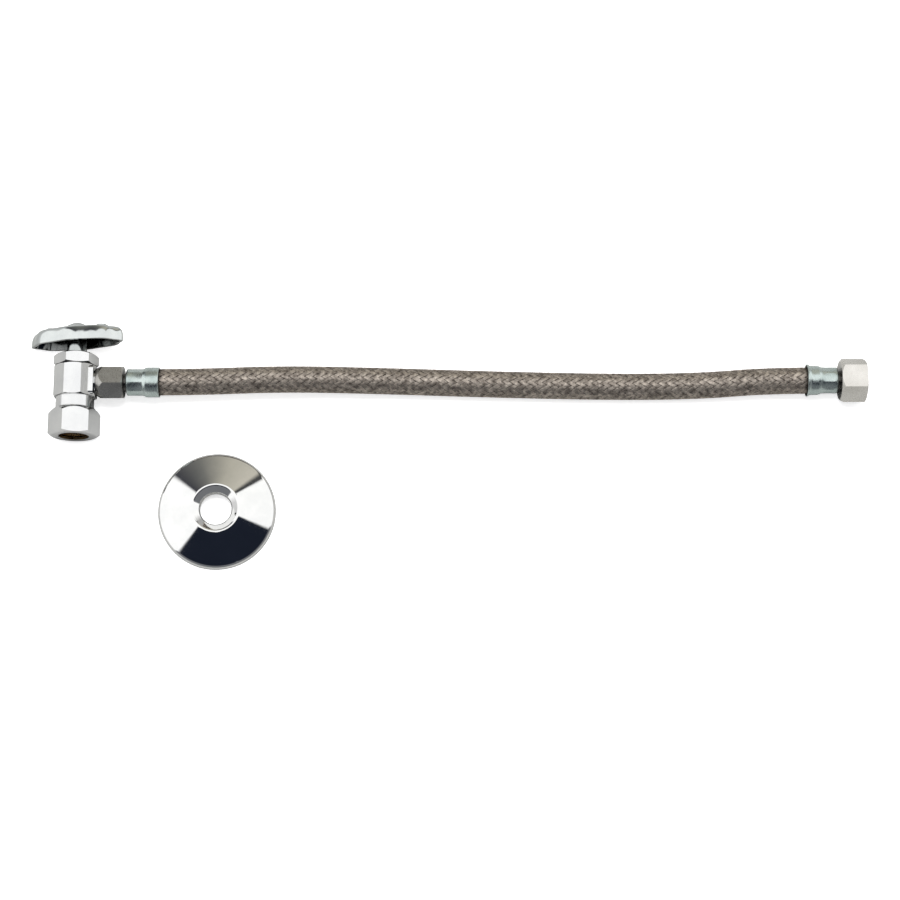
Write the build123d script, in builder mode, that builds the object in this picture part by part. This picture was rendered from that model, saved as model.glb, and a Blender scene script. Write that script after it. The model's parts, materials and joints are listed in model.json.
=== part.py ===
from build123d import *
import math
import os

# A braided faucet supply line joined to its angle stop valve, with the loose wall escutcheon,
# lying on a table. Millimetres, +Z up. The valve's spindle runs along +Y, its outlet and the
# hose along +X. The origin is on the table, under the middle of the whole set.

# ---- driving dimensions ----
# Stations along the spindle and the outlet are measured from the point where the two axes cross.
RUNNING = 0.05  # radial clearance of parts that turn in each other

body_flats = 22.2
body_bottom = -8.5
body_top = 8.9
bonnet_end = 12.6
bonnet_radius = 8.0
bonnet_pitch = 1.27
bonnet_thread = (9.5, 12.4)
inlet_end = -24.0
inlet_radius = 10.3
inlet_pitch = 1.411
socket_radius = 8.05
socket_depth = 11.0
seat_station = -4.1
chamber_radius = 5.6

boss_radius = 7.2
boss_block = (16.0, 15.8)  # along the spindle and across it
boss_block_end = 10.5
outlet_end = 19.0
outlet_radius = 7.05
outlet_pitch = 1.058
outlet_bore = 3.2

stem_radius = 3.2
stem_pitch = 1.5875
stem_thread_end = 7.7  # clear of the packing when the stem is fully out
stem_end = 27.4
spline_start = 20.3
spline_radius = 2.9
spline_sides = 12

packing_nut_flats = 21.0
packing_nut_turn = 12.0  # degrees, as assembly left it
packing_nut_top = 15.4
packing_top = 14.3
packing_radius = 7.3

handle_turn = 17.6  # degrees from level to the handle's long axis
handle_long = 26.4
handle_short = 11.0
handle_lobes = 8
handle_lobe_depth = 0.03
handle_under = 21.3
handle_web = 27.3  # where the hollow ends
handle_face = 29.3
# (station, size) from the open underside to the outer face: the side is nearly straight, then
# rounds in
handle_sides = [(handle_under, 1.0), (25.3, 0.995), (27.9, 0.95), (handle_face, 0.84)]
handle_boss_top = 31.2
handle_screw_top = 33.1
handle_screw_radius = 4.7
handle_pad = 15.0  # from the middle to a pad
hub_radius = 5.4
hub_bottom = 16.4

compression_nut_flats = 24.2
compression_nut_turn = 12.0
compression_nut_top = -15.0
compression_nut_end = -29.9

coupling_nut_flats = 17.0
coupling_nut_turn = 45.0
coupling_nut_start = 11.5
coupling_nut_end = 26.2
coupling_shoulder = 24.4  # the nut's inner face, behind the insert's flange

hose_radius = 7.2
liner_radius = 6.3
liner_bore = 4.0
crimp_radius = 6.7  # the braid's outside where a ferrule squeezes it
insert_bore = 2.7
neck_radius = 4.5

valve_ferrule_start = 27.8
valve_ferrule_end = 45.4
valve_crimp_end = 38.4
faucet_ferrule_start = 395.3
faucet_ferrule_end = 411.8
faucet_crimp_start = 401.9
end_wall = 0.8  # a ferrule's closed end

faucet_nut_flats = 21.0
faucet_nut_start = 413.3
faucet_nut_end = 427.2
faucet_nut_turn = 60.0  # degrees from level to a corner, so that one flat is on the table
faucet_thread_start = 419.1
faucet_thread_radius = 9.3
faucet_thread_depth = 0.6
faucet_thread_end = 425.9
faucet_shoulder = 415.2
faucet_washer_start = 416.9
faucet_washer_end = 418.9
faucet_pitch = 1.814
faucet_neck_radius = 5.0
faucet_drift = 1.9  # sideways, from the outlet's axis to the faucet fitting's

plate_radius = 31.75
plate_hole = 8.5
plate_height = 11.3
plate_crest = 12.7  # radius of the crest round the hole
plate_sheet = 0.6
plate_right = 76.7  # from the spindle to the plate's middle
plate_down = 68.6


# ---- the handle's outline, which decides how high the valve lies ----
def lobed_oval(long_radius, short_radius):
    """Points round an oval whose edge swells into finger lobes."""
    count = handle_lobes * 6
    outline = []
    for step in range(count):
        angle = 2 * math.pi * step / count
        swell = 1 + handle_lobe_depth * math.cos(handle_lobes * angle)
        outline.append((long_radius * swell * math.cos(angle), short_radius * swell * math.sin(angle)))
    return outline


tilt = math.radians(handle_turn)
handle_rim = lobed_oval(handle_long, handle_short)
handle_reach = max(x * math.cos(tilt) + y * math.sin(tilt) for x, y in handle_rim)
handle_drop = max(y * math.cos(tilt) - x * math.sin(tilt) for x, y in handle_rim)

# ---- where the axes lie ----
nut_corner = compression_nut_flats / math.sqrt(3)
nut_drop = nut_corner * math.cos(math.radians(30 - compression_nut_turn))
axis_z = max(handle_drop, nut_drop) + 0.02
print("lowest points under the spindle, mm:", round(handle_drop, 2), round(nut_drop, 2))
faucet_corner = faucet_nut_flats / math.sqrt(3)
faucet_axis_z = faucet_corner * math.sin(math.radians(faucet_nut_turn)) + 0.02
valve_x = (handle_reach - faucet_nut_end) / 2
valve_y = (plate_down + plate_radius - handle_screw_top) / 2

spindle = Plane(origin=(valve_x, valve_y, axis_z), x_dir=(1, 0, 0), z_dir=(0, 1, 0))
handle_plane = Plane(
    origin=(valve_x, valve_y, axis_z), x_dir=(math.cos(tilt), 0, math.sin(tilt)), z_dir=(0, 1, 0)
)
outlet = Plane(origin=(valve_x, valve_y, axis_z), x_dir=(0, 1, 0), z_dir=(1, 0, 0))
faucet = Plane(
    origin=(valve_x, valve_y + faucet_drift, faucet_axis_z), x_dir=(0, 1, 0), z_dir=(1, 0, 0)
)
plate = Plane(origin=(valve_x + plate_right, valve_y - plate_down, 0))

# ---- the hose's route, from the valve's ferrule to the faucet's ----
# Each point is (along the outlet, sideways, height). The hose leaves level, comes down to the
# table, lies on it, and rises again into the faucet fitting.
table_height = hose_radius + 0.05
hose_route = [
    (valve_ferrule_start + end_wall, 0.0, axis_z),
    (62.0, 0.0, axis_z),
    (112.0, 2.4, 12.0),
    (168.0, 1.9, 9.0),
    (226.0, 0.4, table_height),
    (290.0, -1.0, table_height),
    (338.0, -0.5, table_height),
    (376.0, faucet_drift, faucet_axis_z),
    (faucet_ferrule_end - end_wall, faucet_drift, faucet_axis_z),
]


# ---- helpers ----
def lengthwise(along):
    """The plane through an axis in which outlines of (station, radius) are drawn."""
    return Plane(origin=along.origin, x_dir=along.z_dir, z_dir=along.y_dir)


def centre_line(along):
    return Axis(along.origin, along.z_dir)


def turn(along, *outline, mode=Mode.ADD):
    """Turns a closed outline of (station, radius) points about an axis."""
    with BuildSketch(lengthwise(along)) as section:
        with BuildLine():
            Polyline(*outline, close=True)
        make_face()
    revolve(section.sketch, axis=centre_line(along), mode=mode)


def ring(along, start, end, inner, outer, mode=Mode.ADD):
    """A plain ring between two stations, with inner 0 for a disc."""
    turn(along, (start, inner), (start, outer), (end, outer), (end, inner), mode=mode)


def thread(along, start, end, pitch, crest, depth):
    """Cuts ring grooves in a wall of radius crest: inwards for a positive depth, outwards for a
    negative one."""
    proud = math.copysign(0.2, depth)
    with BuildSketch(lengthwise(along)) as grooves:
        for turn_number in range(int((end - start) / pitch)):
            first = start + turn_number * pitch
            last = first + 0.8 * pitch
            with BuildLine():
                Polyline(
                    (first, crest + proud),
                    (first, crest),
                    ((first + last) / 2, crest - depth),
                    (last, crest),
                    (last, crest + proud),
                    close=True,
                )
            make_face()
    revolve(grooves.sketch, axis=centre_line(along), mode=Mode.SUBTRACT)


def flats(along, sides, start, end, across, angle, start_bevel, end_bevel):
    """A bar with wrench flats. A bevel is (radius at the end face, length along the axis)."""
    corner = across / 2 / math.cos(math.pi / sides) + 0.01
    with BuildSketch(along.offset(start)) as bar:
        RegularPolygon(across / 2, sides, major_radius=False, rotation=angle)
    extrude(bar.sketch, amount=end - start)
    turn(
        along,
        (start, 0),
        (start, start_bevel[0]),
        (start + start_bevel[1], corner),
        (end - end_bevel[1], corner),
        (end, end_bevel[0]),
        (end, 0),
        mode=Mode.INTERSECT,
    )


def lobed_face(station, long_radius, short_radius):
    """The handle's outline as a face across the spindle."""
    with BuildSketch(handle_plane.offset(station)) as outline:
        with BuildLine():
            Spline(*lobed_oval(long_radius, short_radius), periodic=True)
        make_face()
    return outline.sketch.face()


def save(piece, name):
    piece.part.label = name
    export_step(piece.part, f"parts/{name}.step")


os.makedirs("parts", exist_ok=True)

# ---- valve body: octagonal block, inlet shank, bonnet and a square-shouldered outlet ----
with BuildPart() as valve_body:
    flats(spindle, 8, body_bottom, body_top, body_flats, 22.5, (11.2, 0.5), (10.5, 0.9))
    ring(spindle, inlet_end, body_bottom, 0, inlet_radius)
    ring(spindle, body_top, bonnet_end, 0, bonnet_radius)
    turn(
        outlet,
        (0, 0),
        (0, boss_radius),
        (11.3, boss_radius),
        (11.3, 6.4),
        (11.9, 6.4),
        (12.4, outlet_radius),
        (outlet_end, outlet_radius),
        (outlet_end, 0),
    )
    with BuildSketch(outlet):
        RectangleRounded(*boss_block, 2.0)
    extrude(amount=boss_block_end)
    # inlet socket with its flared mouth, passage, raised seat and stem chamber
    mouth = socket_radius + 1.35
    turn(
        spindle,
        (inlet_end - 0.5, 0),
        (inlet_end - 0.5, mouth + 0.5),
        (inlet_end + 1.35, socket_radius),
        (inlet_end + socket_depth, socket_radius),
        (inlet_end + socket_depth, 5.2),
        (-7.6, 5.2),
        (-6.4, 3.6),
        (seat_station, 3.6),
        (seat_station, 4.5),
        (seat_station - 0.5, 4.9),
        (seat_station - 0.5, chamber_radius),
        (bonnet_end + 0.2, chamber_radius),
        (bonnet_end + 0.2, 0),
        mode=Mode.SUBTRACT,
    )
    # outlet passage with a cone at its mouth for the washer
    turn(
        outlet,
        (0, 0),
        (0, outlet_bore),
        (outlet_end - 2.2, outlet_bore),
        (outlet_end + 0.2, outlet_bore + 2.4),
        (outlet_end + 0.2, 0),
        mode=Mode.SUBTRACT,
    )
    thread(spindle, -23.0, -14.5, inlet_pitch, inlet_radius, 0.7)
    thread(spindle, *bonnet_thread, bonnet_pitch, bonnet_radius, 0.5)
    thread(spindle, 5.0, 12.0, stem_pitch, chamber_radius, -0.6)
    thread(outlet, 12.6, 18.6, outlet_pitch, outlet_radius, 0.55)
save(valve_body, "valve_body")

# ---- packing nut, packing and ring ----
with BuildPart() as packing_nut:
    flats(
        spindle,
        6,
        body_top,
        packing_nut_top,
        packing_nut_flats,
        packing_nut_turn,
        (9.9, 0.9),
        (9.5, 1.3),
    )
    bonnet_room = bonnet_radius + RUNNING
    turn(
        spindle,
        (body_top - 0.1, 0),
        (body_top - 0.1, bonnet_room),
        (bonnet_end, bonnet_room),
        (bonnet_end, packing_radius + 0.1),
        (packing_top, packing_radius + 0.1),
        (packing_top, stem_radius + 0.3),
        (packing_nut_top + 0.1, stem_radius + 0.3),
        (packing_nut_top + 0.1, 0),
        mode=Mode.SUBTRACT,
    )
    thread(spindle, *bonnet_thread, bonnet_pitch, bonnet_room, -0.5)
save(packing_nut, "packing_nut")

with BuildPart() as stem_packing:
    ring(spindle, bonnet_end, packing_top - 0.6, stem_radius + RUNNING, packing_radius)
save(stem_packing, "stem_packing")

with BuildPart() as packing_ring:
    ring(spindle, packing_top - 0.6, packing_top, stem_radius + 0.3, packing_radius)
save(packing_ring, "packing_ring")

# ---- stem, seat washer and its screw ----
cup_face = -1.7
washer_screw_radius = 1.25
with BuildPart() as stem:
    ring(spindle, cup_face, 0.2, 0, 5.0)
    ring(spindle, 0.2, 1.6, 0, 3.6)
    ring(spindle, 1.6, stem_thread_end, 0, chamber_radius - 0.08)
    ring(spindle, stem_thread_end, spline_start, 0, stem_radius)
    with BuildSketch(spindle.offset(spline_start)):
        RegularPolygon(spline_radius, spline_sides)
    extrude(amount=stem_end - spline_start)
    ring(spindle, cup_face - 0.1, 3.6, 0, washer_screw_radius, mode=Mode.SUBTRACT)
    ring(spindle, 20.6, stem_end + 0.1, 0, 1.6, mode=Mode.SUBTRACT)
    thread(spindle, 1.8, stem_thread_end - 0.1, stem_pitch, chamber_radius - 0.08, 0.6)
save(stem, "stem")

with BuildPart() as seat_washer:
    ring(spindle, seat_station + 0.05, cup_face - 0.05, washer_screw_radius + 0.07, 4.7)
save(seat_washer, "seat_washer")

with BuildPart() as seat_washer_screw:
    ring(spindle, -5.3, seat_station, 0, 2.6)
    ring(spindle, seat_station, 3.4, 0, washer_screw_radius)
    with BuildSketch(spindle.offset(-5.4)):
        Rectangle(5.4, 0.7)
    extrude(amount=0.6, mode=Mode.SUBTRACT)
save(seat_washer_screw, "seat_washer_screw")

# ---- handle: a hollow lobed oval with a hub, and its screw ----
with BuildPart() as handle:
    loft(
        [
            lobed_face(station, handle_long * size, handle_short * size)
            for station, size in handle_sides
        ]
    )
    hollow = [
        lobed_face(handle_under - 0.1, handle_long - 1.8, handle_short - 1.8),
        lobed_face(handle_web, handle_long - 4.2, handle_short - 3.4),
    ]
    loft(hollow, ruled=True, mode=Mode.SUBTRACT)
    # boss and hub in the middle, and a low round pad near each end
    boss_start = handle_web + 0.2
    turn(
        spindle,
        (boss_start, 0),
        (boss_start, 6.6),
        (handle_boss_top - 0.7, 6.4),
        (handle_boss_top, 5.8),
        (handle_boss_top, 0),
    )
    ring(spindle, hub_bottom, handle_web + 0.7, 0, hub_radius)
    with BuildSketch(handle_plane.offset(handle_web + 0.7)):
        with Locations((-handle_pad, 0), (handle_pad, 0)):
            Ellipse(2.9, 4.4)
    extrude(amount=2.7)
    # splined socket for the stem and the screw's hole
    with BuildSketch(handle_plane.offset(hub_bottom - 0.1)):
        RegularPolygon(spline_radius + RUNNING, spline_sides, rotation=handle_turn)
    extrude(amount=stem_end + 0.2 - hub_bottom, mode=Mode.SUBTRACT)
    ring(spindle, stem_end, handle_boss_top + 0.1, 0, 1.9, mode=Mode.SUBTRACT)
    ring(spindle, hub_bottom - 0.1, spline_start + 0.1, 0, stem_radius + RUNNING, mode=Mode.SUBTRACT)
save(handle, "handle")

with BuildPart() as handle_screw:
    with BuildSketch(lengthwise(spindle)):
        with BuildLine():
            rim = (handle_boss_top + 0.6, handle_screw_radius)
            crown = (handle_screw_top, 0)
            Polyline((handle_boss_top, 0), (handle_boss_top, handle_screw_radius), rim)
            ThreePointArc(rim, (handle_screw_top - 0.35, 0.6 * handle_screw_radius), crown)
            Line(crown, (handle_boss_top, 0))
        make_face()
    revolve(axis=centre_line(spindle))
    ring(spindle, 21.0, handle_boss_top, 0, 1.6)
    # cross recess
    with BuildSketch(handle_plane.offset(handle_screw_top - 0.8)):
        Rectangle(4.0, 0.8)
        Rectangle(0.8, 4.0)
    extrude(amount=1.0, mode=Mode.SUBTRACT)
save(handle_screw, "handle_screw")

# ---- compression nut and sleeve at the inlet ----
with BuildPart() as compression_nut:
    flats(
        spindle,
        6,
        compression_nut_end,
        compression_nut_top,
        compression_nut_flats,
        compression_nut_turn,
        (11.9, 1.0),
        (11.0, 2.9),
    )
    nut_crest = inlet_radius + 0.06
    turn(
        spindle,
        (compression_nut_end - 0.1, 0),
        (compression_nut_end - 0.1, socket_radius + 0.15),
        (-28.4, socket_radius + 0.15),
        (-27.2, 9.7),
        (inlet_end - 0.2, 9.7),
        (inlet_end - 0.2, nut_crest),
        (compression_nut_top + 0.1, nut_crest),
        (compression_nut_top + 0.1, 0),
        mode=Mode.SUBTRACT,
    )
    thread(spindle, -23.6, -15.6, inlet_pitch, nut_crest, -0.7)
save(compression_nut, "compression_nut")

with BuildPart() as compression_sleeve:
    sleeve_bore = socket_radius + 0.05
    turn(
        spindle,
        (-27.9, sleeve_bore),
        (-27.9, 8.5),
        (-27.1, 9.2),
        (-24.6, 9.2),
        (-23.3, 8.35),
        (-23.3, sleeve_bore),
    )
save(compression_sleeve, "compression_sleeve")

# ---- coupling nut, cone washer, insert and ferrule at the valve end of the hose ----
washer_end = 22.4
with BuildPart() as coupling_nut:
    flats(
        outlet,
        6,
        coupling_nut_start,
        coupling_nut_end,
        coupling_nut_flats,
        coupling_nut_turn,
        (7.45, 4.2),
        (8.3, 0.9),
    )
    coupling_crest = outlet_radius + RUNNING
    turn(
        outlet,
        (coupling_nut_start - 0.1, 0),
        (coupling_nut_start - 0.1, coupling_crest),
        (coupling_shoulder, coupling_crest),
        (coupling_shoulder, neck_radius + RUNNING),
        (coupling_nut_end + 0.1, neck_radius + RUNNING),
        (coupling_nut_end + 0.1, 0),
        mode=Mode.SUBTRACT,
    )
    thread(outlet, 12.4, 19.6, outlet_pitch, coupling_crest, -0.55)
save(coupling_nut, "coupling_nut")

with BuildPart() as outlet_cone_washer:
    turn(
        outlet,
        (outlet_end - 1.6, insert_bore),
        (outlet_end - 1.6, outlet_bore + 0.6),
        (outlet_end, outlet_bore + 2.2),
        (outlet_end, 6.7),
        (washer_end, 6.7),
        (washer_end, insert_bore),
    )
save(outlet_cone_washer, "outlet_cone_washer")

with BuildPart() as valve_end_insert:
    flange_end = coupling_shoulder - 0.1
    ring(outlet, washer_end, flange_end, insert_bore, 6.8)
    ring(outlet, flange_end, valve_ferrule_start + end_wall, insert_bore, neck_radius)
    ring(outlet, valve_ferrule_start + end_wall, 43.0, insert_bore, liner_bore)
    thread(outlet, 31.0, 42.0, 2.6, liner_bore, 0.45)
save(valve_end_insert, "valve_end_insert")

with BuildPart() as valve_end_ferrule:
    turn(
        outlet,
        (valve_ferrule_start, neck_radius),
        (valve_ferrule_start, 6.9),
        (28.2, 7.25),
        (36.9, 7.25),
        (38.2, 8.1),
        (45.1, 8.15),
        (valve_ferrule_end, 7.9),
        (valve_ferrule_end, 7.4),
        (38.6, 7.4),
        (37.4, crimp_radius),
        (valve_ferrule_start + end_wall, crimp_radius),
        (valve_ferrule_start + end_wall, neck_radius),
    )
save(valve_end_ferrule, "valve_end_ferrule")

# ---- the hose: liner and braid ----
# Straight runs joined by tangent arcs, each arc as large as its two runs allow.
route = [Vector(valve_x + x, valve_y + y, z) for x, y, z in hose_route]
arc_radii = []
for before, at, after in zip(route, route[1:], route[2:]):
    half_turn = math.radians((at - before).get_angle(after - at)) / 2
    arc_radii.append(0.45 * min((at - before).length, (after - at).length) / math.tan(half_turn))
print("hose arc radii, mm:", [round(radius) for radius in arc_radii])


def tube(outer, inner):
    """A tube along the whole route."""
    with BuildLine() as path:
        FilletPolyline(*route, radius=arc_radii)
    with BuildSketch(Plane(origin=route[0], x_dir=(0, 1, 0), z_dir=(1, 0, 0))) as section:
        Circle(outer)
        Circle(inner, mode=Mode.SUBTRACT)
    sweep(section.sketch, path=path.line)
    return path.wires()[0].length


with BuildPart() as hose_liner:
    hose_length = tube(liner_radius, liner_bore)
print("hose length, mm:", round(hose_length, 1))
save(hose_liner, "hose_liner")

with BuildPart() as hose_braid:
    tube(hose_radius, liner_radius)
    # each end is squeezed to a smaller size inside its ferrule
    ring(outlet, 28.0, valve_crimp_end, crimp_radius, 8.0, mode=Mode.SUBTRACT)
    ring(faucet, faucet_crimp_start, 412.0, crimp_radius, 8.0, mode=Mode.SUBTRACT)
save(hose_braid, "hose_braid")

for name, made, section in [
    ("liner", hose_liner, liner_radius**2 - liner_bore**2),
    ("braid", hose_braid, hose_radius**2 - liner_radius**2),
]:
    print(name, "volume / (section x length):", made.part.volume / (math.pi * section * hose_length))

# ---- ferrule, insert, washer and nut at the faucet end ----
with BuildPart() as faucet_end_ferrule:
    turn(
        faucet,
        (faucet_ferrule_start, 8.25),
        (faucet_ferrule_start, 8.8),
        (397.6, 7.95),
        (401.4, 7.9),
        (403.2, 7.15),
        (411.3, 7.1),
        (faucet_ferrule_end, 6.7),
        (faucet_ferrule_end, faucet_neck_radius),
        (faucet_ferrule_end - end_wall, faucet_neck_radius),
        (faucet_ferrule_end - end_wall, crimp_radius),
        (403.0, crimp_radius),
        (401.8, 7.4),
        (397.8, 7.4),
    )
save(faucet_end_ferrule, "faucet_end_ferrule")

with BuildPart() as faucet_end_insert:
    ring(faucet, 397.5, faucet_ferrule_end - end_wall, insert_bore, liner_bore)
    flange_start = faucet_shoulder + 0.1
    ring(faucet, faucet_ferrule_end - end_wall, flange_start, insert_bore, faucet_neck_radius)
    ring(faucet, flange_start, faucet_washer_start, insert_bore, 8.8)
    thread(faucet, 398.5, 409.5, 2.6, liner_bore, 0.45)
save(faucet_end_insert, "faucet_end_insert")

with BuildPart() as faucet_washer:
    turn(
        faucet,
        (faucet_washer_start, 3.2),
        (faucet_washer_start, 9.0),
        (418.0, 9.0),
        (faucet_washer_end, 8.1),
        (faucet_washer_end, 3.2),
    )
save(faucet_washer, "faucet_washer")

faucet_cavity = faucet_thread_radius + faucet_thread_depth
with BuildPart() as faucet_nut:
    flats(
        faucet,
        6,
        faucet_nut_start,
        faucet_nut_end,
        faucet_nut_flats,
        faucet_nut_turn,
        (10.4, 1.6),
        (10.9, 0.7),
    )
    turn(
        faucet,
        (faucet_nut_start - 0.1, 0),
        (faucet_nut_start - 0.1, faucet_neck_radius + RUNNING),
        (faucet_shoulder, faucet_neck_radius + RUNNING),
        (faucet_shoulder, faucet_cavity),
        (faucet_thread_start - 0.35, faucet_cavity),
        (faucet_thread_start, faucet_thread_radius),
        (faucet_nut_end - 0.8, faucet_thread_radius),
        (faucet_nut_end + 0.1, faucet_thread_radius + 0.7),
        (faucet_nut_end + 0.1, 0),
        mode=Mode.SUBTRACT,
    )
    thread(
        faucet,
        faucet_thread_start + 0.3,
        faucet_thread_end,
        faucet_pitch,
        faucet_thread_radius,
        -faucet_thread_depth,
    )
save(faucet_nut, "faucet_nut")

# ---- escutcheon: a shallow cone of sheet metal with a turned-down rim and a rolled-in hole ----
with BuildPart() as escutcheon:
    rim = plate_radius - plate_sheet / 2
    lip = plate_hole + plate_sheet / 2
    with BuildSketch(lengthwise(plate)):
        with BuildLine():
            FilletPolyline(
                (0, rim),
                (2.6, rim),
                (plate_height, plate_crest),
                (8.1, lip),
                (5.4, lip),
                radius=[2.8, 1.2, 1.3],
            )
        trace(line_width=plate_sheet)
    revolve(axis=centre_line(plate))
save(escutcheon, "escutcheon")
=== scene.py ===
"""The looks of the supply line set: camera, woven hose, crimped ferrules, metal finishes, stage.

All lengths are metres, in the CAD model's frame: +X along the hose, +Y along the valve's stem,
+Z up from the table.
"""

import json
import math
import random

import bpy
import numpy as np
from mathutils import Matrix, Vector


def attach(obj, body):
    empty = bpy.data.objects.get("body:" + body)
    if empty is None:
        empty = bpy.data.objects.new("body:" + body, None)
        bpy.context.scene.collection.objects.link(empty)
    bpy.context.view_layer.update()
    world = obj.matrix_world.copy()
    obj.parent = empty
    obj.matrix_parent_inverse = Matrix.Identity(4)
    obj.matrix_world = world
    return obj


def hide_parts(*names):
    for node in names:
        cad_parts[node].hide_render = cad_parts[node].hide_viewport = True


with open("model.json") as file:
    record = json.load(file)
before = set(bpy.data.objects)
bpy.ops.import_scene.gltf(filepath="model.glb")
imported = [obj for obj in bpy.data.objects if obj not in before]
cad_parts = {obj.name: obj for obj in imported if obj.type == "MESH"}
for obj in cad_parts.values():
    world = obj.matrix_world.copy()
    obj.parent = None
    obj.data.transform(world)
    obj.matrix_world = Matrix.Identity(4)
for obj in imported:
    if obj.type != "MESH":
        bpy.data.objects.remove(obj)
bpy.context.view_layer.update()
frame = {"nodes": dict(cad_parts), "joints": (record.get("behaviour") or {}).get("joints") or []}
NODES = frame["nodes"]
MM = 0.001


def joint_point(name):
    """Where a joint's axis passes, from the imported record."""
    return Vector(next(j["pos_m"] for j in frame["joints"] if j["name"] == name))


CROSSING = joint_point("handle_turn")  # where the stem's axis meets the outlet's
FAUCET = joint_point("faucet_nut_swivel")
ROOT = "valve_and_hose"

# ---------------------------------------------------------------- camera

CAMERA_ELEVATION = 77.0
CAMERA_DISTANCE = 1.2
CAMERA_LENS = 89.45
CAMERA_SENSOR = 36.0
CAMERA_CLIP = (0.01, 20)
CAMERA_AIM = CROSSING + Vector((0.2023, -0.0375, 0.0))


def make_camera():
    data = bpy.data.cameras.new("camera")
    data.lens = CAMERA_LENS
    data.sensor_width = CAMERA_SENSOR
    data.clip_start, data.clip_end = CAMERA_CLIP
    camera = bpy.data.objects.new("camera", data)
    bpy.context.scene.collection.objects.link(camera)
    up = math.radians(CAMERA_ELEVATION)
    back = Vector((0, -math.cos(up), math.sin(up)))
    camera.location = CAMERA_AIM + back * CAMERA_DISTANCE
    camera.rotation_mode = "QUATERNION"
    camera.rotation_quaternion = (-back).to_track_quat("-Z", "Y")
    bpy.context.scene.camera = camera


make_camera()

# ---------------------------------------------------------------- mesh helpers


def mesh_object(name, points, faces, material, smooth=True):
    """A mesh piece from arrays of points and faces, with one material."""
    mesh = bpy.data.meshes.new(name)
    mesh.from_pydata([tuple(p) for p in points], [], faces)
    mesh.update()
    if smooth:
        mesh.polygons.foreach_set("use_smooth", [True] * len(mesh.polygons))
    piece = bpy.data.objects.new(name, mesh)
    piece.data.materials.append(material)
    bpy.context.scene.collection.objects.link(piece)
    return piece


# ---------------------------------------------------------------- materials


# Sockets of nodes that hold several sockets of one name, by number.
RANGE_VALUE, RANGE_START, RANGE_END, RANGE_LOW, RANGE_HIGH = 0, 1, 2, 3, 4
MIX_FIRST, MIX_SECOND, MIX_RESULT = 6, 7, 2
SHELTER_SAMPLES = 8
SHELTER_START, SHELTER_END = 0.25, 0.85  # share of open sky that is dark, and that is bright


class Nodes:
    """A node tree, built one node at a time."""

    def __init__(self, tree):
        self.tree = tree

    def add(self, kind, **values):
        node = self.tree.nodes.new(kind)
        for key, value in values.items():
            if key in node.inputs:
                node.inputs[key].default_value = value
            else:
                setattr(node, key, value)
        return node

    def link(self, source, target):
        self.tree.links.new(source, target)

    def place(self, scale=(1, 1, 1)):
        """The object's own coordinates, stretched."""
        coordinates = self.add("ShaderNodeTexCoord")
        mapping = self.add("ShaderNodeMapping", Scale=scale)
        self.link(coordinates.outputs["Object"], mapping.inputs["Vector"])
        return mapping.outputs["Vector"]

    def noise(self, scale, detail=4.0, where=None, roughness=0.55):
        node = self.add("ShaderNodeTexNoise", Scale=scale, Detail=detail, Roughness=roughness)
        self.link(where or self.place(), node.inputs["Vector"])
        return node.outputs["Fac"]

    def span(self, value, low, high, start=0.3, end=0.7):
        """Maps a value from start..end to low..high."""
        node = self.add("ShaderNodeMapRange")
        sockets = (RANGE_START, RANGE_END, RANGE_LOW, RANGE_HIGH)
        for socket, number in zip(sockets, (start, end, low, high)):
            node.inputs[socket].default_value = number
        self.link(value, node.inputs[RANGE_VALUE])
        return node.outputs[0]

    def ramp(self, value, stops):
        node = self.add("ShaderNodeValToRGB")
        elements = node.color_ramp.elements
        while len(elements) < len(stops):
            elements.new(0.5)
        for element, (place, colour) in zip(elements, stops):
            element.position = place
            element.color = (*colour, 1)
        self.link(value, node.inputs["Fac"])
        return node.outputs["Color"]

    def bump(self, height, strength, distance):
        node = self.add("ShaderNodeBump", Strength=strength, Distance=distance)
        self.link(height, node.inputs["Height"])
        return node.outputs["Normal"]

    def times(self, colour, share):
        """A colour multiplied by another value."""
        node = self.add("ShaderNodeMix", data_type="RGBA", blend_type="MULTIPLY")
        node.inputs["Factor"].default_value = 1.0
        self.link(colour, node.inputs[MIX_FIRST])
        self.link(share, node.inputs[MIX_SECOND])
        return node.outputs[MIX_RESULT]

    def sheltered(self, colour, reach, shade, open_share=None):
        """Darkens a colour in corners and hollows, where little light gets in, but nowhere
        below open_share."""
        open_sky = self.add(
            "ShaderNodeAmbientOcclusion", Distance=reach, samples=SHELTER_SAMPLES
        )
        share = self.span(open_sky.outputs["AO"], shade, 1.0, SHELTER_START, SHELTER_END)
        if open_share is not None:
            brighter = self.add("ShaderNodeMath", operation="MAXIMUM")
            self.link(share, brighter.inputs[0])
            self.link(open_share, brighter.inputs[1])
            share = brighter.outputs[0]
        return self.times(colour, share)


class Material(Nodes):
    """A material with one shader."""

    def __init__(self, name):
        self.material = bpy.data.materials.new(name)
        self.material.use_nodes = True
        super().__init__(self.material.node_tree)
        self.shader = self.tree.nodes["Principled BSDF"]

    def finish(self, **sockets):
        for name, value in sockets.items():
            socket = self.shader.inputs[name.replace("_", " ")]
            if isinstance(value, bpy.types.NodeSocket):
                self.link(value, socket)
            else:
                socket.default_value = value
        return self.material


# Painted light on the hub: how much of its colour is kept against the painted shade.
HUB_PAINTED_LIGHT = 0.8
HUB_INSIDE, HUB_OUTSIDE = 0.0056, 0.0060  # distance from the stem's axis


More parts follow.
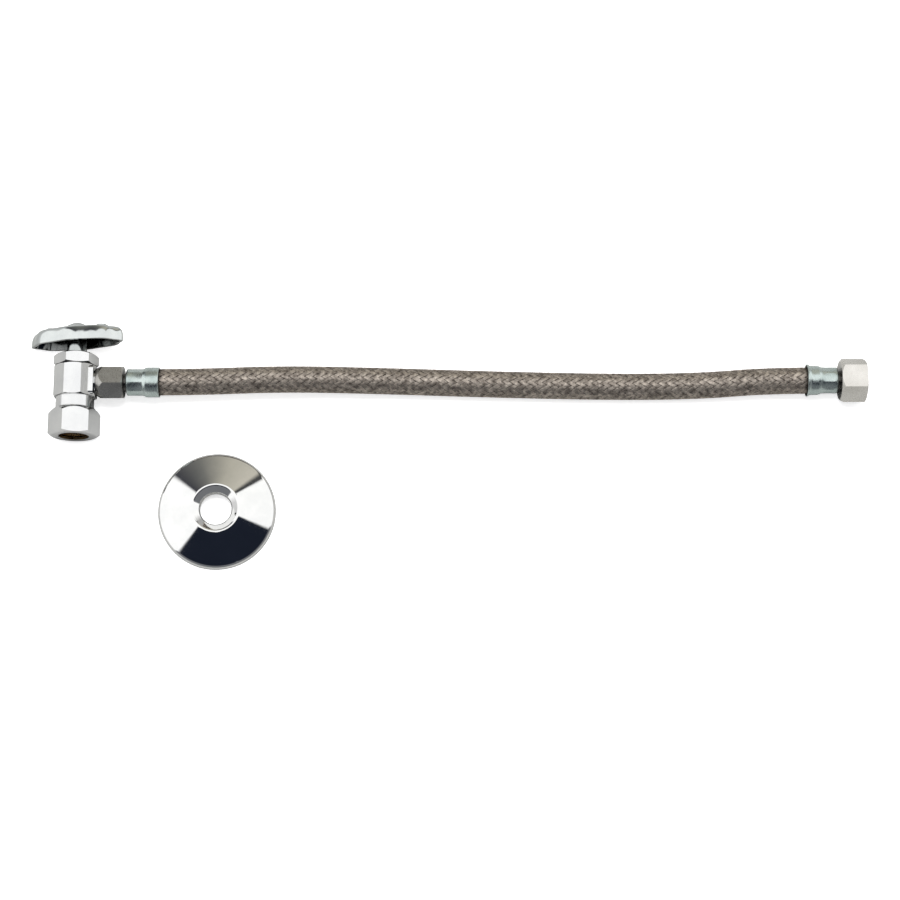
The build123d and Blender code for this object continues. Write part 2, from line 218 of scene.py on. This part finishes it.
def hub_painted_light(m):
    """Painted light on the handle's hub: a share of its colour that the painted shade there may not
    go below, and 0 off it.
    """
    moved = m.add("ShaderNodeVectorMath", operation="SUBTRACT")
    m.link(m.add("ShaderNodeNewGeometry").outputs["Position"], moved.inputs[0])
    moved.inputs[1].default_value = CROSSING
    flattened = m.add("ShaderNodeVectorMath", operation="MULTIPLY")
    m.link(moved.outputs[0], flattened.inputs[0])
    flattened.inputs[1].default_value = (1, 0, 1)
    distance = m.add("ShaderNodeVectorMath", operation="LENGTH")
    m.link(flattened.outputs[0], distance.inputs[0])
    return m.span(distance.outputs["Value"], HUB_PAINTED_LIGHT, 0.0, HUB_INSIDE, HUB_OUTSIDE)


def plated(name, dark, light, smooth, rough, ripple=0.02, reach=0.006, shade=0.12, lit=None):
    """Bright plating: faint cloudiness in its colour, fine handling marks in its gloss, and painted
    shade in corners and hollows, except where the painted light made by lit says otherwise."""
    m = Material(name)
    clouds = m.noise(90.0, 3.0)
    marks = m.noise(1400.0, 6.0, where=m.place((1.0, 0.35, 1.0)))
    clouded = m.ramp(clouds, [(0.35, dark), (0.65, light)])
    colour = m.sheltered(clouded, reach, shade, lit(m) if lit else None)
    normal = m.bump(m.noise(240.0, 2.0), ripple, 0.0004)
    return m.finish(
        Base_Color=colour, Metallic=1.0, Roughness=m.span(marks, smooth, rough), Normal=normal
    )


# In each plating, reach and shade set how far and how deep its painted shade in corners and hollows
# goes.
chrome = plated("chrome", (0.75, 0.755, 0.76), (0.82, 0.825, 0.82), 0.05, 0.12)
# The handle's long reach and deep shade paint shade into its hollow underside, with painted light
# kept on the hub.
handle_chrome = plated(
    "handle_chrome",
    (0.61, 0.64, 0.635),
    (0.69, 0.72, 0.71),
    0.06,
    0.14,
    reach=0.024,
    shade=0.02,
    lit=hub_painted_light,
)
sheet_chrome = plated(
    "sheet_chrome", (0.79, 0.795, 0.79), (0.86, 0.86, 0.85), 0.03, 0.08, ripple=0.012
)
satin_nickel = plated(
    "satin_nickel", (0.42, 0.41, 0.385), (0.52, 0.51, 0.485), 0.24, 0.36, ripple=0.05
)
warm_nickel = plated(
    "warm_nickel",
    (0.68, 0.66, 0.62),
    (0.77, 0.75, 0.71),
    0.20,
    0.32,
    ripple=0.04,
    reach=0.012,
    shade=0.05,
)
zinc = plated("zinc", (0.46, 0.54, 0.525), (0.66, 0.74, 0.72), 0.22, 0.38, ripple=0.10)
brass = plated(
    "brass", (0.56, 0.38, 0.18), (0.70, 0.50, 0.26), 0.22, 0.38, ripple=0.05, reach=0.01
)
bright_steel = plated(
    "bright_steel", (0.42, 0.43, 0.43), (0.54, 0.55, 0.55), 0.20, 0.34, ripple=0.04
)


def moulded(name, colour, rough):
    """Moulded rubber or plastic: a fine grain and a dull, slightly uneven gloss."""
    m = Material(name)
    grain = m.noise(2600.0, 5.0)
    pale = tuple(min(1.0, c * 1.35 + 0.01) for c in colour)
    return m.finish(
        Base_Color=m.ramp(m.noise(300.0), [(0.3, colour), (0.7, pale)]),
        Roughness=m.span(grain, rough - 0.08, rough + 0.1),
        Normal=m.bump(grain, 0.25, 0.0002),
    )


rubber = moulded("rubber", (0.018, 0.018, 0.018), 0.62)
vinyl = moulded("vinyl", (0.70, 0.70, 0.66), 0.48)


VALVE_MOUTH = CROSSING.x + 0.0454  # the open end of the ferrule by the valve
FAUCET_MOUTH = CROSSING.x + 0.3953
MOUTH_REACH = 0.0022
MOUTH_DARKNESS = 0.25
WIRE_REACH, WIRE_SHADE = 0.0012, 0.15
GRAIN_SHARE = 0.45


def mouth_shade(m):
    """Painted shade close to the two ferrules' mouths: the colour darkens within MOUTH_REACH of
    each.
    """
    parts = m.add("ShaderNodeSeparateXYZ")
    m.link(m.place(), parts.inputs[0])
    shares = []
    for mouth, inward in ((VALVE_MOUTH, 1), (FAUCET_MOUTH, -1)):
        clear = mouth + inward * MOUTH_REACH
        shares.append(m.span(parts.outputs[0], MOUTH_DARKNESS, 1.0, mouth, clear))
    node = m.add("ShaderNodeMath", operation="MULTIPLY")
    for share, socket in zip(shares, node.inputs):
        m.link(share, socket)
    return node.outputs[0]


def wire(name):
    """Drawn stainless wire: warm grey, with each float a little different, and painted shade in its
    hollows and by the ferrules' mouths.
    """
    m = Material(name)
    patches = m.noise(420.0, 3.0)
    fine = m.noise(2600.0, 4.0)
    mixed = m.add("ShaderNodeMath", operation="MULTIPLY_ADD")
    m.link(fine, mixed.inputs[0])
    mixed.inputs[1].default_value = GRAIN_SHARE
    m.link(patches, mixed.inputs[2])
    colour = m.ramp(
        mixed.outputs[0],
        [
            (0.52, (0.22, 0.19, 0.165)),
            (0.70, (0.46, 0.405, 0.355)),
            (0.90, (0.79, 0.71, 0.625)),
        ],
    )
    return m.finish(
        Base_Color=m.times(m.sheltered(colour, WIRE_REACH, WIRE_SHADE), mouth_shade(m)),
        Metallic=1.0,
        Roughness=m.span(fine, 0.44, 0.60),
        Normal=m.bump(fine, 0.15, 0.0001),
    )


braid_wire = wire("braid_wire")


def shadowed_core():
    """What shows between the wires: painted shade, a dark colour standing in for the shadow on the
    tube under the braid.
    """
    m = Material("braid_core_painted_shade")
    return m.finish(
        Base_Color=m.ramp(m.noise(500.0), [(0.3, (0.03, 0.026, 0.022)), (0.7, (0.07, 0.06, 0.05))]),
        Roughness=m.span(m.noise(1800.0), 0.6, 0.8),
    )


core_painted_shade = shadowed_core()

NODE_FINISH = {
    "valve_body": chrome,
    "packing_nut": chrome,
    "handle": handle_chrome,
    "compression_nut": chrome,
    "escutcheon": sheet_chrome,
    "handle_screw": bright_steel,
    "coupling_nut": satin_nickel,
    "faucet_nut": warm_nickel,
    "stem": brass,
    "packing_ring": brass,
    "compression_sleeve": brass,
    "seat_washer_screw": brass,
    "valve_end_insert": satin_nickel,
    "faucet_end_insert": satin_nickel,
    "valve_end_ferrule": zinc,
    "faucet_end_ferrule": zinc,
    "hose_liner": vinyl,
    "hose_braid": braid_wire,
    "seat_washer": rubber,
    "stem_packing": rubber,
    "outlet_cone_washer": rubber,
    "faucet_washer": rubber,
}
for node_name, finish in NODE_FINISH.items():
    for material_slot in NODES[node_name].material_slots:
        material_slot.material = finish

# ---------------------------------------------------------------- the hose's line

# The route's points: along the outlet and sideways from the crossing, and height over the table.
TABLE_HEIGHT = 0.00725
HOSE_ROUTE = [
    (0.0286, 0.0, CROSSING.z),
    (0.0620, 0.0, CROSSING.z),
    (0.1120, 0.0024, 0.0120),
    (0.1680, 0.0019, 0.0090),
    (0.2260, 0.0004, TABLE_HEIGHT),
    (0.2900, -0.0010, TABLE_HEIGHT),
    (0.3380, -0.0005, TABLE_HEIGHT),
    (0.3760, 0.0019, FAUCET.z),
    (0.4110, 0.0019, FAUCET.z),
]


def hose_curve(name, bevel):
    """The hose's smooth line as a NURBS curve, with a round section unless bevel is 0."""
    curve = bpy.data.curves.new(name, "CURVE")
    curve.dimensions = "3D"
    curve.resolution_u = 40
    curve.bevel_depth = bevel
    curve.bevel_resolution = 6
    spline = curve.splines.new("NURBS")
    spline.points.add(len(HOSE_ROUTE) - 1)
    for point, (along, sideways, height) in zip(spline.points, HOSE_ROUTE):
        point.co = (CROSSING.x + along, CROSSING.y + sideways, height, 1)
    spline.order_u = 3
    spline.use_endpoint_u = True
    piece = bpy.data.objects.new(name, curve)
    bpy.context.scene.collection.objects.link(piece)
    return piece


def read_line():
    """The smooth line's points, with the distance along it of each."""
    bare = hose_curve("hose_line", 0.0)
    bpy.context.view_layer.update()
    mesh = bpy.data.meshes.new_from_object(bare)
    points = np.array([v.co[:] for v in mesh.vertices])
    bpy.data.meshes.remove(mesh)
    bpy.data.objects.remove(bare)
    steps = np.linalg.norm(np.diff(points, axis=0), axis=1)
    return points, np.concatenate([[0], np.cumsum(steps)])


LINE_POINTS, LINE_AT = read_line()
LINE_LENGTH = LINE_AT[-1]


def on_hose(along, angle, radius):
    """Points at a distance along the hose, an angle round it and a distance from its line."""
    centre = np.stack([np.interp(along, LINE_AT, LINE_POINTS[:, i]) for i in range(3)], -1)
    slopes = np.gradient(LINE_POINTS, LINE_AT, axis=0)
    tangent = np.stack([np.interp(along, LINE_AT, slopes[:, i]) for i in range(3)], -1)
    tangent /= np.linalg.norm(tangent, axis=-1, keepdims=True)
    side = np.cross([0.0, 0.0, 1.0], tangent)
    side /= np.linalg.norm(side, axis=-1, keepdims=True)
    up = np.cross(tangent, side)
    angle, radius = angle[..., None], radius[..., None]
    return centre + radius * (np.cos(angle) * side + np.sin(angle) * up)


# ---------------------------------------------------------------- the braid

CARRIERS = 16  # bands of wire each way round
WIRES = 4  # ridges across a band
LAY = math.radians(31)  # a band's angle to the hose's line
BAND_RADIUS = 6.78 * MM
BAND_WIDTH = 2.05 * MM
BAND_LIFT = 0.24 * MM  # over and under a crossing
WIRE_HEIGHT = 0.20 * MM
BAND_THICKNESS = 0.12 * MM
WEAVE_START = 10.2 * MM
WEAVE_END = 9.2 * MM  # from the hose's far end
WEAVE_STEP = 0.80 * MM
CORE_RADIUS = 6.55 * MM
WEAVE_SHARPNESS = 1.7  # how steeply a band passes from over to under
START_JITTER = 0.015  # how unevenly the bands are spaced, as an angle
SWAY, SWAY_RATE = 0.012, 90  # a band's wander round the hose, and how often it wanders
SWELL, SWELL_RATE = 0.05, 310  # the same for a band's width
WANDER_LIMIT = 6.28


def braid_bands(name, hand, seed):
    """All the bands that wind one way. Each goes over two bands of the other way, then under
    two, and its surface is ridged by its wires."""
    rng = random.Random(seed)
    along = np.arange(WEAVE_START, LINE_LENGTH - WEAVE_END, WEAVE_STEP)
    across = 2 * WIRES + 1
    profile = np.linspace(-0.5, 0.5, across) * BAND_WIDTH
    ridge = np.where(np.arange(across) % 2 == 1, WIRE_HEIGHT, 0.0)
    twist = math.tan(LAY) / BAND_RADIUS
    count = across + 2  # points round a band
    points, faces = [], []
    base = 0
    for band in range(CARRIERS):
        start = 2 * math.pi * band / CARRIERS + rng.uniform(-START_JITTER, START_JITTER)
        wander = rng.uniform(0, WANDER_LIMIT)
        sway = SWAY * np.sin(along * SWAY_RATE + wander)
        centre_angle = start + hand * along * twist + sway
        # lattice places: this band's own number, and the number of the band it crosses
        crossed = CARRIERS * (start + 2 * hand * along * twist) / (2 * math.pi)
        wave = np.cos(2 * math.pi * (crossed + band - 0.5) / 4)
        lift = BAND_LIFT * hand * np.tanh(WEAVE_SHARPNESS * wave) / math.tanh(WEAVE_SHARPNESS)
        width = 1 + SWELL * np.sin(along * SWELL_RATE + wander)
        offset = profile[None, :] * width[:, None]
        s = along[:, None] - hand * offset * math.sin(LAY)
        theta = centre_angle[:, None] + offset * math.cos(LAY) / BAND_RADIUS
        radius = BAND_RADIUS + lift[:, None] + ridge[None, :]
        under = BAND_RADIUS + lift - BAND_THICKNESS
        top = on_hose(s, theta, radius)
        edges = on_hose(s[:, [0, -1]], theta[:, [0, -1]], np.stack([under, under], -1))
        ring = np.concatenate([top, edges[:, 1:], edges[:, :1]], axis=1)
        points.append(ring.reshape(-1, 3))
        for i in range(len(along) - 1):
            row, following = base + i * count, base + (i + 1) * count
            for j in range(count):
                k = (j + 1) % count
                faces.append((row + j, following + j, following + k, row + k))
        last = base + (len(along) - 1) * count
        faces.append(tuple(base + j for j in range(count)))
        faces.append(tuple(last + j for j in reversed(range(count))))
        base += len(along) * count
    return mesh_object(name, np.concatenate(points), faces, braid_wire)


hose_core = hose_curve("hose_core", CORE_RADIUS)
# The core's colour is painted shade that shows between the wires.
hose_core.data.materials.append(core_painted_shade)
hose_core.data.use_fill_caps = True
right_bands = braid_bands("braid_right_hand", 1, 3)
left_bands = braid_bands("braid_left_hand", -1, 4)

# ---------------------------------------------------------------- crimped ferrules

FERRULE_ROUND = 96  # points round a ferrule
CRIMP_SIDES = 8
CRIMP_DEPTH = 0.05
CRIMP_RUN_IN = 1.2  # mm over which the flats fade in and out


def crimp(angle, sides, turn):
    """How far a polygon's side lies inside its corners' circle, as a share of the radius."""
    sector = 2 * math.pi / sides
    local = (angle - turn) % sector - sector / 2
    return math.cos(sector / 2) / math.cos(local)


def ferrule(name, axis_point, outline, squeezed, turn):
    """A turned sleeve along X whose squeezed stretch is pressed into flats.

    outline is a closed line of (station in mm, radius in mm, on the outside), and squeezed is
    the (start, end) of the flats in mm."""
    start, end = squeezed
    lost_on_flat = 1 - math.cos(math.pi / CRIMP_SIDES)
    points, faces = [], []
    for station, radius, outside in outline:
        run_in, run_out = (station - start) / CRIMP_RUN_IN, (end - station) / CRIMP_RUN_IN
        inside_crimp = max(0.0, min(1.0, run_in, run_out))
        for step in range(FERRULE_ROUND):
            angle = 2 * math.pi * step / FERRULE_ROUND
            flat = crimp(angle, CRIMP_SIDES, turn)
            pressed = 1 - inside_crimp * CRIMP_DEPTH * (1 - flat) / lost_on_flat
            r = radius * (pressed if outside else 1.0)
            points.append(
                (
                    axis_point.x + station * MM,
                    axis_point.y + r * MM * math.cos(angle),
                    axis_point.z + r * MM * math.sin(angle),
                )
            )
    rings = len(outline)
    for ring in range(rings):
        after = (ring + 1) % rings
        for step in range(FERRULE_ROUND):
            k = (step + 1) % FERRULE_ROUND
            a, b = ring * FERRULE_ROUND, after * FERRULE_ROUND
            faces.append((a + step, b + step, b + k, a + k))
    return mesh_object(name, points, faces, zinc)


# Closed outlines, outer side first. Stations run along X from the crossing.
VALVE_FERRULE = [
    (27.8, 4.52, False),
    (27.8, 6.6, True),
    (27.95, 6.95, True),
    (28.3, 7.25, True),
    (29.0, 7.25, True),
    (30.2, 7.25, True),
    (35.4, 7.25, True),
    (36.6, 7.25, True),
    (36.9, 7.3, True),
    (37.6, 7.75, True),
    (38.2, 8.1, True),
    (38.9, 8.15, True),
    (44.7, 8.15, True),
    (45.1, 8.12, True),
    (45.4, 7.9, True),
    (45.4, 7.4, False),
    (38.6, 7.4, False),
    (37.4, 6.72, False),
    (28.6, 6.72, False),
    (28.6, 4.52, False),
]
FAUCET_FERRULE = [
    (395.3, 8.25, False),
    (395.3, 8.7, True),
    (395.5, 8.8, True),
    (396.0, 8.75, True),
    (396.9, 8.05, True),
    (397.6, 7.95, True),
    (400.9, 7.92, True),
    (401.6, 7.85, True),
    (402.5, 7.45, True),
    (403.2, 7.15, True),
    (404.0, 7.12, True),
    (405.2, 7.12, True),
    (409.0, 7.12, True),
    (410.2, 7.12, True),
    (411.2, 7.1, True),
    (411.6, 6.95, True),
    (411.8, 6.7, True),
    (411.8, 5.02, False),
    (411.0, 5.02, False),
    (411.0, 6.72, False),
    (403.0, 6.72, False),
    (401.8, 7.4, False),
    (397.8, 7.4, False),
]
valve_ferrule = ferrule(
    "valve_end_ferrule_crimped", CROSSING, VALVE_FERRULE, squeezed=(29.0, 36.6), turn=0.20
)
faucet_ferrule = ferrule(
    "faucet_end_ferrule_crimped",
    Vector((CROSSING.x, FAUCET.y, FAUCET.z)),
    FAUCET_FERRULE,
    squeezed=(404.0, 410.2),
    turn=0.35,
)

# ---------------------------------------------------------------- stage and light


FLOOR_HALF = 3.0
FLOOR_LEVEL = -0.0001
FLOOR_GLOW = 0.66  # only for the camera
MIRRORED_FLOOR, SEEN_FLOOR = (0.46, 0.46, 0.45), (0.90, 0.90, 0.90)
BLACK, WHITE = (0.0, 0.0, 0.0), (1.0, 1.0, 1.0)


def make_floor():
    """A matt table that photographs white and looks light grey in the metal's reflections."""
    m = Material("table_white")
    seen = m.add("ShaderNodeLightPath").outputs["Is Camera Ray"]
    colour = m.ramp(seen, [(0.0, MIRRORED_FLOOR), (1.0, SEEN_FLOOR)])
    m.finish(
        Base_Color=colour,
        Roughness=0.7,
        Specular_IOR_Level=0.1,
        Emission_Color=m.ramp(seen, [(0.0, BLACK), (1.0, WHITE)]),
        Emission_Strength=FLOOR_GLOW,
    )
    signs = ((-1, -1), (1, -1), (1, 1), (-1, 1))
    corners = [(FLOOR_HALF * a, FLOOR_HALF * b, FLOOR_LEVEL) for a, b in signs]
    mesh_object("table", corners, [(0, 1, 2, 3)], m.material, smooth=False)


make_floor()


LAMP_PLACE = Vector((0.0, 0.35, 1.7))
LAMP_SIZE = (0.9, 0.6)
LAMP_POWER = 22


def make_lamp():
    """A soft light over the table, aimed at the origin. The metal doesn't mirror it: what the
    metal mirrors is the room below."""
    data = bpy.data.lights.new("overhead", "AREA")
    data.shape = "RECTANGLE"
    data.size, data.size_y = LAMP_SIZE
    data.energy = LAMP_POWER
    lamp = bpy.data.objects.new("overhead", data)
    bpy.context.scene.collection.objects.link(lamp)
    lamp.location = LAMP_PLACE
    lamp.rotation_mode = "QUATERNION"
    lamp.rotation_quaternion = (-LAMP_PLACE).to_track_quat("-Z", "Y")
    lamp.visible_camera = lamp.visible_glossy = False


make_lamp()

# Around the room at middle height, by direction in degrees from +X: two white screens, a grey
# wall behind the table and a dark room in front of it. Brightness is a share of the screens'.
ROOM = [
    (0, (1.0, 1.0, 1.0)),
    (50, (1.0, 1.0, 0.99)),
    (52, (0.06, 0.06, 0.06)),
    (55, (0.06, 0.06, 0.06)),
    (59, (0.50, 0.475, 0.41)),
    (84, (0.42, 0.40, 0.34)),
    (112, (0.15, 0.15, 0.14)),
    (134, (0.045, 0.046, 0.055)),
    (137, (1.0, 1.0, 1.0)),
    (211, (1.0, 1.0, 1.0)),
    (214, (0.010, 0.013, 0.022)),
    (352, (0.010, 0.013, 0.022)),
    (355, (1.0, 1.0, 1.0)),
]
# The same room lower down, where the front is lighter.
FRONT_FROM, FRONT_TO = 214, 352
LOW_FRONT = (0.15, 0.155, 0.165)
LOW_ROOM = [
    (angle, LOW_FRONT if FRONT_FROM <= angle <= FRONT_TO else colour) for angle, colour in ROOM
]
# Near the level of the table.
HORIZON = [
    (0, (0.40, 0.395, 0.38)),
    (90, (0.38, 0.38, 0.38)),
    (180, (0.64, 0.64, 0.64)),
    (270, (0.08, 0.08, 0.09)),
    (359, (0.40, 0.395, 0.38)),
]
SCREEN_BRIGHTNESS = 1.2
CEILING_FROM, CEILING_FULL = 61.0, 64.0  # degrees up, at either side
CEILING_TILT = 17.0  # lower at the back, higher at the front
DARK_FROM, DARK_FULL = 32.0, 40.0  # from the low room to the one with the dark front
SCREENS_FROM, SCREENS_FULL = 9.0, 13.0  # from the horizon to the low room


def make_world():
    """The studio as the metal sees it; the camera sees plain white behind the table."""
    world = bpy.data.worlds.new("studio")
    world.use_nodes = True
    m = Nodes(world.node_tree)

    def calculate(operation, a, b=None):
        node = m.add("ShaderNodeMath", operation=operation)
        for socket, value in zip(node.inputs, (a, b)):
            if isinstance(value, bpy.types.NodeSocket):
                m.link(value, socket)
            elif value is not None:
                socket.default_value = value
        return node.outputs[0]

    def mixed(share, first, second):
        node = m.add("ShaderNodeMix", data_type="RGBA")
        m.link(share, node.inputs["Factor"])
        for value, socket in zip((first, second), (node.inputs[MIX_FIRST], node.inputs[MIX_SECOND])):
            if isinstance(value, bpy.types.NodeSocket):
                m.link(value, socket)
            else:
                socket.default_value = (*value, 1)
        return node.outputs[MIX_RESULT]

    def around(stops):
        return m.ramp(round_room, [(angle / 360, colour) for angle, colour in stops])

    direction = m.add("ShaderNodeTexCoord").outputs["Generated"]
    parts = m.add("ShaderNodeSeparateXYZ")
    m.link(direction, parts.inputs[0])
    x, y, z = parts.outputs
    round_room = calculate("FRACT", calculate("DIVIDE", calculate("ARCTAN2", y, x), 2 * math.pi))
    degrees_up = calculate("MULTIPLY", calculate("ARCSINE", z), math.degrees(1))
    room = around(ROOM)
    horizon = around(HORIZON)
    screens = m.span(degrees_up, 0.0, 1.0, SCREENS_FROM, SCREENS_FULL)
    low_room = around(LOW_ROOM)
    high = m.span(degrees_up, 0.0, 1.0, DARK_FROM, DARK_FULL)
    tilted = calculate("ADD", degrees_up, calculate("MULTIPLY", y, CEILING_TILT))
    ceiling = m.span(tilted, 0.0, 1.0, CEILING_FROM, CEILING_FULL)
    walls = mixed(screens, horizon, mixed(high, low_room, room))
    studio = mixed(ceiling, walls, WHITE)
    seen = m.add("ShaderNodeLightPath").outputs["Is Camera Ray"]
    background = m.tree.nodes["Background"]
    m.link(mixed(seen, studio, WHITE), background.inputs["Color"])
    background.inputs["Strength"].default_value = SCREEN_BRIGHTNESS
    bpy.context.scene.world = world


make_world()
bpy.context.scene.view_settings.view_transform = "Standard"

# ---------------------------------------------------------------- what rides on what

for piece in (hose_core, right_bands, left_bands, valve_ferrule, faucet_ferrule):
    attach(piece, ROOT)
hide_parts("hose_braid", "hose_liner")
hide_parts("valve_end_ferrule")
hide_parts("faucet_end_ferrule")
